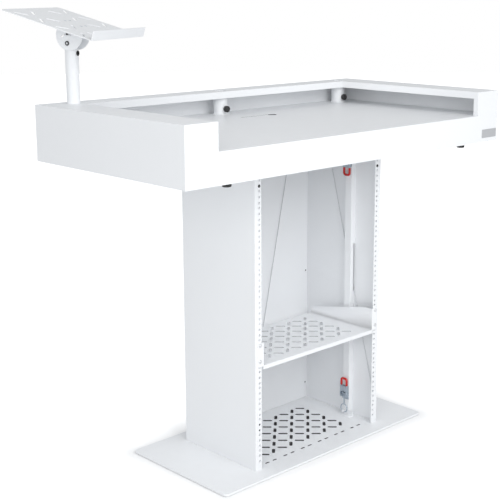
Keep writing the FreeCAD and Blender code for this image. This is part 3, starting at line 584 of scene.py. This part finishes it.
def ends_of_bars(node):
    """The two end points of each straight bar in a CAD node."""
    bars = welded_copy(node)
    found = []
    visited = set()
    for first in bars.verts:
        if first in visited:
            continue
        visited.add(first)
        stack = [first]
        bar = [first]
        while stack:
            for edge in stack.pop().link_edges:
                for other in edge.verts:
                    if other not in visited:
                        visited.add(other)
                        stack.append(other)
                        bar.append(other)
        points = [v.co.copy() for v in bar]
        centre = sum(points, Vector()) / len(points)
        tip = max(points, key=lambda p: (p - centre).length)
        near = [p for p in points if (p - tip).length < bar_end_reach]
        far = [p for p in points if (p - tip).length >= bar_end_reach]
        found.append((sum(near, Vector()) / len(near), sum(far, Vector()) / len(far)))
    bars.free()
    return found


wires = bmesh.new()
uv = wires.loops.layers.uv.new("strand")
for start, end in ends_of_bars("brace_wires"):
    length = (end - start).length
    place = aimed(start, end - start)
    rings = []
    for k in range(wire_spans + 1):
        ring = []
        for s in range(wire_sides):
            angle = 2 * math.pi * s / wire_sides
            point = Vector((wire_radius * math.cos(angle), wire_radius * math.sin(angle),
                            length * k / wire_spans))
            ring.append(wires.verts.new(place @ point))
        rings.append(ring)
    for k in range(wire_spans):
        for s in range(wire_sides):
            after = (s + 1) % wire_sides
            face = wires.faces.new((rings[k][s], rings[k][after],
                                    rings[k + 1][after], rings[k + 1][s]))
            face.smooth = True
            corners = ((s, k), (s + 1, k), (s + 1, k + 1), (s, k + 1))
            for loop, (round_step, span) in zip(face.loops, corners):
                loop[uv].uv = (round_step / wire_sides, span / wire_spans * length / strand_lay)
    for tip, inward in ((start, end - start), (end, start - end)):
        spun(wires, ferrule, 16, aimed(tip, inward), material_index=1)
fitted("bracing_wires_twisted", wires, [wire_material, zinc], "lectern", "steel_wire",
       "brace_wires")
eased_node("brace_anchors", "_plated", [zinc], "lectern", "zinc_plate", cut=0.0005, fold=0.0006)
eased_node("desk_locating_pins", "_turned", [zinc], "lectern", "zinc_plate",
           cut=0.0006, fold=0.0008)


# The toggle latches: a pressed steel base and lever and a bent rod ring, all zinc plated. The ring
# hooks a white coated catch: two latches pull the column down on the base and two hold the desk.
# Each lever ends in a U-shaped grip of bent rod, dipped in red vinyl.
red_vinyl = finish("red_dipped_vinyl", ((0.52, 0.016, 0.014), (0.62, 0.022, 0.018)),
                   (0.68, 0.06, 0.05), (0.24, 0.38), (260.0, 1800.0, 25.0), 0.00006,
                   wear=0.3, dust=0.12)
grip_radius = 0.0035
grip_bend = 0.0068
hidden_rod = 0.004
pressed_cut = 0.00025
pressed_fold = 0.0006


def grip_path(low, high, closed_up):
    """The middle line of a U-shaped grip, from one open end round the bend to the other."""
    x = (low.x + high.x) / 2
    if closed_up:
        open_z, closed_z, rise = low.z, high.z - grip_radius, 1
    else:
        open_z, closed_z, rise = high.z, low.z + grip_radius, -1
    left_y = low.y + grip_radius
    right_y = high.y - grip_radius
    line = [(left_y, open_z + rise * step) for step in (0.0, 0.0004, 0.0012, 0.004, 0.008)]
    for turn in range(13):
        angle = math.radians(7.5 * turn)
        line.append((left_y + grip_bend * (1 - math.cos(angle)),
                     closed_z - rise * grip_bend * (1 - math.sin(angle))))
    line += [(left_y + right_y - y, z) for y, z in reversed(line)]
    return [Vector((x, y, z)) for y, z in line]


def drawn_tube(path, radius, sides=28):
    """A round bar bent along a path across X, with rounded ends."""
    made = bmesh.new()
    rings = []
    for k, point in enumerate(path):
        ahead = (path[min(k + 1, len(path) - 1)] - path[max(k - 1, 0)]).normalized()
        outward = ahead.cross(Vector((1, 0, 0)))
        from_end = min(k, len(path) - 1 - k)
        thick = radius * (0.72, 0.92, 1.0)[min(from_end, 2)]
        ring = []
        for s in range(sides):
            angle = 2 * math.pi * s / sides
            away = math.cos(angle) * Vector((1, 0, 0)) + math.sin(angle) * outward
            ring.append(made.verts.new(point + thick * away))
        rings.append(ring)
    for near, far in zip(rings, rings[1:]):
        for s in range(sides):
            face = made.faces.new((near[s], near[(s + 1) % sides], far[(s + 1) % sides], far[s]))
            face.smooth = True
    made.faces.new(rings[0])
    made.faces.new(rings[-1])
    bmesh.ops.recalc_face_normals(made, faces=made.faces)
    return made


for level in ("lower", "upper"):
    for side in ("left", "right"):
        latch = "latch_" + level + "_" + side
        lever = latch + "_lever"
        grip_low, grip_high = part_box(latch + "_grip")
        closed_up = level == "lower"
        line = grip_path(grip_low, grip_high, closed_up)
        pressed = welded_copy(lever)
        rise = Vector((0, 0, 1 if closed_up else -1))
        bmesh.ops.bisect_plane(
            pressed, geom=pressed.verts[:] + pressed.edges[:] + pressed.faces[:],
            plane_co=line[0] + hidden_rod * rise, plane_no=rise, clear_outer=True)
        bmesh.ops.holes_fill(pressed, edges=[e for e in pressed.edges if e.is_boundary])
        eased(lever + "_pressed", pressed, [zinc], lever, "zinc_plate", [lever],
              cut=pressed_cut, fold=pressed_fold)
        fitted(latch + "_grip_dipped", drawn_tube(line, grip_radius), [red_vinyl], lever,
               "red_grip", latch + "_grip")
        loop = latch + "_loop"
        eased_node(loop, "_bent", [zinc], loop, "zinc_plate", cut=0.0002, fold=0.0003)
for node in ("latch_bases", "latch_pivots"):
    eased_node(node, "_pressed", [zinc], "lectern", "zinc_plate",
               cut=pressed_cut, fold=pressed_fold)
for node in ("floor_catches", "desk_catches"):
    eased_node(node, "_coated", [white_coat], "lectern", "white_powder_coat",
               cut=pressed_cut, fold=pressed_fold)


# The rack shelf: one sheet folded down in front and up at the sides, with vents through its floor,
# screwed to the rack flanges by its two ears.
# Painted shade: the walls of the shelf's vents are grey, the tone of a thin cut edge, standing in
# for the shade inside the vents.
painted_shade_thin_cut = finish("thin_cut_painted_shade", ((0.42, 0.43, 0.44), (0.52, 0.53, 0.54)), (0.60, 0.60, 0.60),
                  (0.5, 0.65), (900.0, 2600.0, 30.0), 0.00003, wear=0.3, dust=0.2)
shelf_low, shelf_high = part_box("rack_shelf")
shelf_sheet = 0.002
shelf_top = 0.3019
shelf_margin = 4 * shelf_sheet
shelf_vents = (Vector((0.9 * shelf_low.x, shelf_low.y + shelf_margin, shelf_top - shelf_sheet)),
               Vector((0.9 * shelf_high.x, shelf_high.y - shelf_margin, shelf_top)))
eased_node("rack_shelf", "_folded", [white_coat, painted_shade_thin_cut], "lectern", "white_powder_coat",
           cuts=shelf_vents)


# The desk: front, side and back sheets folded and welded to the rim, ground flush and coated as one
# shell, with the worktop sheet let in below the rim. Two bearers and a mount plate carry the
# worktop, and two covers close the desk from below.
weld_gap = 0.000005


def welded_together(*nodes):
    """One closed mesh from CAD nodes whose seams are welded and ground flush."""
    whole = None
    for node in nodes:
        data = bpy.data.meshes.new(node + "_blank")
        blank = welded_copy(node)
        blank.to_mesh(data)
        blank.free()
        piece = bpy.data.objects.new(node + "_blank", data)
        scene.collection.objects.link(piece)
        if whole is None:
            whole = piece
            continue
        weld = whole.modifiers.new("weld", "BOOLEAN")
        weld.operation = "UNION"
        weld.solver = "EXACT"
        weld.object = piece
        graph = bpy.context.evaluated_depsgraph_get()
        whole.data = bpy.data.meshes.new_from_object(whole.evaluated_get(graph))
        whole.modifiers.clear()
        bpy.data.objects.remove(piece)
    made = bmesh.new()
    made.from_mesh(whole.data)
    bpy.data.objects.remove(whole)
    bmesh.ops.remove_doubles(made, verts=made.verts, dist=weld_gap)
    return made


shell_nodes = ["desk_front_panel", "desk_left_wall", "desk_right_wall", "desk_back_wall",
               "desk_rim"]
eased("desk_shell_welded", welded_together(*shell_nodes), [white_coat], "lectern",
      "white_powder_coat", shell_nodes, fold=0.0014)
# The cable hole's wall gets the dark cut-edge colour as a painted shade for the dark seen in the
# hole.
cable_hole = (Vector((-0.03, 0.13, 0.91)), Vector((0.12, 0.17, 0.93)))
eased_node("worktop", "_coated", [white_coat, painted_shade_cut_edge], "lectern", "white_powder_coat",
           cuts=cable_hole)
for node in ("left_bearer", "right_bearer", "desk_mount_plate", "left_bottom_cover",
             "right_bottom_cover"):
    eased_node(node, "_coated", [white_coat], "lectern", "white_powder_coat")


# The label plate: a thin blank of satin grey metal with rounded corners, glued to the front panel
# near its right end. It carries no lettering.
grey_plate = finish("grey_label_plate", ((0.52, 0.53, 0.55), (0.57, 0.58, 0.60)),
                    (0.70, 0.71, 0.73), (0.38, 0.5), (700.0, 2500.0, 8.0), 0.00001,
                    wear=0.5, dust=0.1, metal=0.3)
eased_node("label_plate", "_blank", [grey_plate], "lectern", "grey_label",
           sheet=0.001, cut=0.00015, fold=0.0002)


# The pole sockets: three steel tubes welded through the worktop under the rear rim, each with a
# boss for its thumb screw and a rippled weld bead round its foot, coated over with the rest.
tube_cut = 0.0004
tube_fold = 0.0006
bead_width = 0.0028
bead_height = 0.0030
bead_root = 0.0004
ripples = 44
ripple_out = 0.0004
ripple_up = 0.0003


def rippled(r, h, angle):
    """The ripples that a weld leaves along its bead."""
    wave = 0.5 + 0.5 * math.cos(ripples * angle)
    return (r + ripple_out * wave, h + ripple_up * wave) if h > bead_root else (r, h)


for place in ("left", "middle", "right"):
    node = "socket_" + place
    socket_low, socket_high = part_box(node)
    tube_radius = (socket_high.x - socket_low.x) / 2
    middle_x = (socket_low.x + socket_high.x) / 2
    foot = Vector((middle_x, socket_high.y - tube_radius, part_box("worktop")[1].z))
    bead_rows = [(tube_radius - bead_root, 0.0), (tube_radius + bead_width, 0.0),
                 (tube_radius + 0.9 * bead_width, 0.25 * bead_height),
                 (tube_radius + 0.5 * bead_width, 0.7 * bead_height),
                 (tube_radius + 0.1 * bead_width, bead_height),
                 (tube_radius - bead_root, bead_height)]
    bead = spun(bmesh.new(), bead_rows + bead_rows[:1], 4 * ripples,
                Matrix.Translation(foot), rippled)
    bmesh.ops.remove_doubles(bead, verts=bead.verts, dist=same_point)
    bmesh.ops.recalc_face_normals(bead, faces=bead.faces)
    fitted(node + "_weld_bead", bead, [white_coat], "lectern", "white_powder_coat")
    eased_node(node, "_welded", [white_coat], "lectern", "white_powder_coat",
               cut=tube_cut, fold=tube_fold)


# The thumb screws: black moulded heads on zinc-plated studs. The three clamp screws have ten
# flutes, and the four under the desk that hold its bottom covers have twelve.
flute_depth = 0.0011
stud_radius = 0.003


def thumb_screw(node, outward, length, flutes):
    """A fluted head with a dished face, and the threaded stud behind it."""
    low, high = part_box(node)
    outward = Vector(outward)
    middle = (low + high) / 2
    face = Vector(low if outward.dot(Vector((1, 1, 1))) < 0 else high)
    across = abs(outward.x) < 0.5
    radius = (high.x - low.x) / 2 if across else (high.y - low.y) / 2
    tip = middle + outward * (face - middle).dot(outward)
    seat = tip - outward * length
    stud = (high - low).dot(Vector(map(abs, outward))) - length

    def fluted(r, h, angle):
        groove = max(math.cos(flutes * angle), -0.25) + 0.25
        share = max((r / radius - 0.7) / 0.3, 0.0)
        return r - flute_depth * share * (groove / 1.25) ** 1.4, h

    rows = [(0.0, 0.0), (0.72 * radius, 0.0), (0.9 * radius, 0.0003), (0.98 * radius, 0.0012),
            (radius, 0.0022), (radius, length - 0.0028), (0.985 * radius, length - 0.0015),
            (0.93 * radius, length - 0.0006), (0.85 * radius, length - 0.0001),
            (0.78 * radius, length),
            (0.72 * radius, length - 0.0002), (0.66 * radius, length - 0.0009),
            (0.40 * radius, length - 0.0011), (0.15 * radius, length - 0.0011),
            (0.11 * radius, length - 0.0015), (0.0, length - 0.0015)]
    made = spun(bmesh.new(), rows, flutes * 10, aimed(seat, outward), fluted)
    into_head = thread_pitch
    threaded_shank(made, aimed(seat, outward), stud_radius, stud, into_head, material_index=1)
    fitted(node + "_fluted", made, [black_plastic, zinc], node, "black_plastic", node)


clamp_length = 0.0115
for place in ("left", "middle", "right"):
    thumb_screw("clamp_knob_" + place, (0, -1, 0), clamp_length, 10)
cover_length = 0.012
for side in ("left", "right"):
    for place in ("front", "rear"):
        thumb_screw("cover_knob_" + side + "_" + place, (0, 0, -1), cover_length, 12)


# The pole: a white coated steel tube that stands in the left socket, with a black rubber grommet
# pressed into its cable outlet.
eased_node("pole", "_tube", [white_coat], "pole", "white_powder_coat",
           cut=tube_cut, fold=tube_fold)
eased_node("pole_grommet", "_moulded", [rubber], "pole", "black_rubber", cut=0.0006, fold=0.0008)


# The tilt bolt and its stop pin: a plated steel bolt with a black washer under each low head, and a
# small black oxide pin that stops the tray's fork. Both run across the pole.
washer_radius = 0.006
bolt_head_radius = 0.003
bolt_head = 0.0025
bolt_shank_radius = 0.004
washer_rows = [(bolt_head_radius - 0.0005, 0.0), (0.95 * washer_radius, 0.0),
               (washer_radius, 0.0004), (washer_radius, 0.0013), (0.93 * washer_radius, 0.0019),
               (0.75 * washer_radius, 0.0021), (bolt_head_radius, 0.0020),
               (bolt_head_radius - 0.0005, 0.0012)]
head_rows = [(0.0, -0.0005), (bolt_head_radius, -0.0005), (bolt_head_radius, 0.7 * bolt_head),
             (0.9 * bolt_head_radius, 0.9 * bolt_head), (0.6 * bolt_head_radius, bolt_head),
             (0.0, bolt_head)]
bolt_shape = welded_copy("tilt_bolt")
bmesh.ops.dissolve_limit(bolt_shape, angle_limit=flat_angle, verts=bolt_shape.verts,
                         edges=bolt_shape.edges)
ends = sorted(bolt_shape.faces, key=lambda face: face.calc_area())[-2:]
seats = [(end.calc_center_bounds() - bolt_head * end.normal, end.normal.copy()) for end in ends]
bolt_shape.free()
bolt = bmesh.new()
for seat, outward in seats:
    spun(bolt, washer_rows + washer_rows[:1], 40, aimed(seat, outward), material_index=1)
    spun(bolt, head_rows, 32, aimed(seat, outward))
bolt_length = (seats[1][0] - seats[0][0]).length
shank_rows = [(0.0, 0.0), (bolt_shank_radius, 0.0), (bolt_shank_radius, bolt_length),
              (0.0, bolt_length)]
spun(bolt, shank_rows, 32, aimed(seats[0][0], -seats[0][1]))
bmesh.ops.remove_doubles(bolt, verts=bolt.verts, dist=same_point)
fitted("tilt_bolt_turned", bolt, [plated_screw, black_plastic], "pole", "black_steel",
       "tilt_bolt")
eased_node("tilt_stop_pin", "_turned", [black_oxide], "pole", "black_steel",
           cut=0.0004, fold=0.0005)


# The document tray: a perforated sheet with a turned-up lip, screwed to a forked bracket that tilts
# on the pole's bolt. Both are folded and powder coated, and the screws are zinc plated.
for node in ("tray", "tray_bracket"):
    eased_node(node, "_folded", [white_coat], "tray", "white_powder_coat")
eased_node("tray_screws", "_turned", [zinc], "tray", "zinc_plate", cut=0.0003, fold=0.0004)
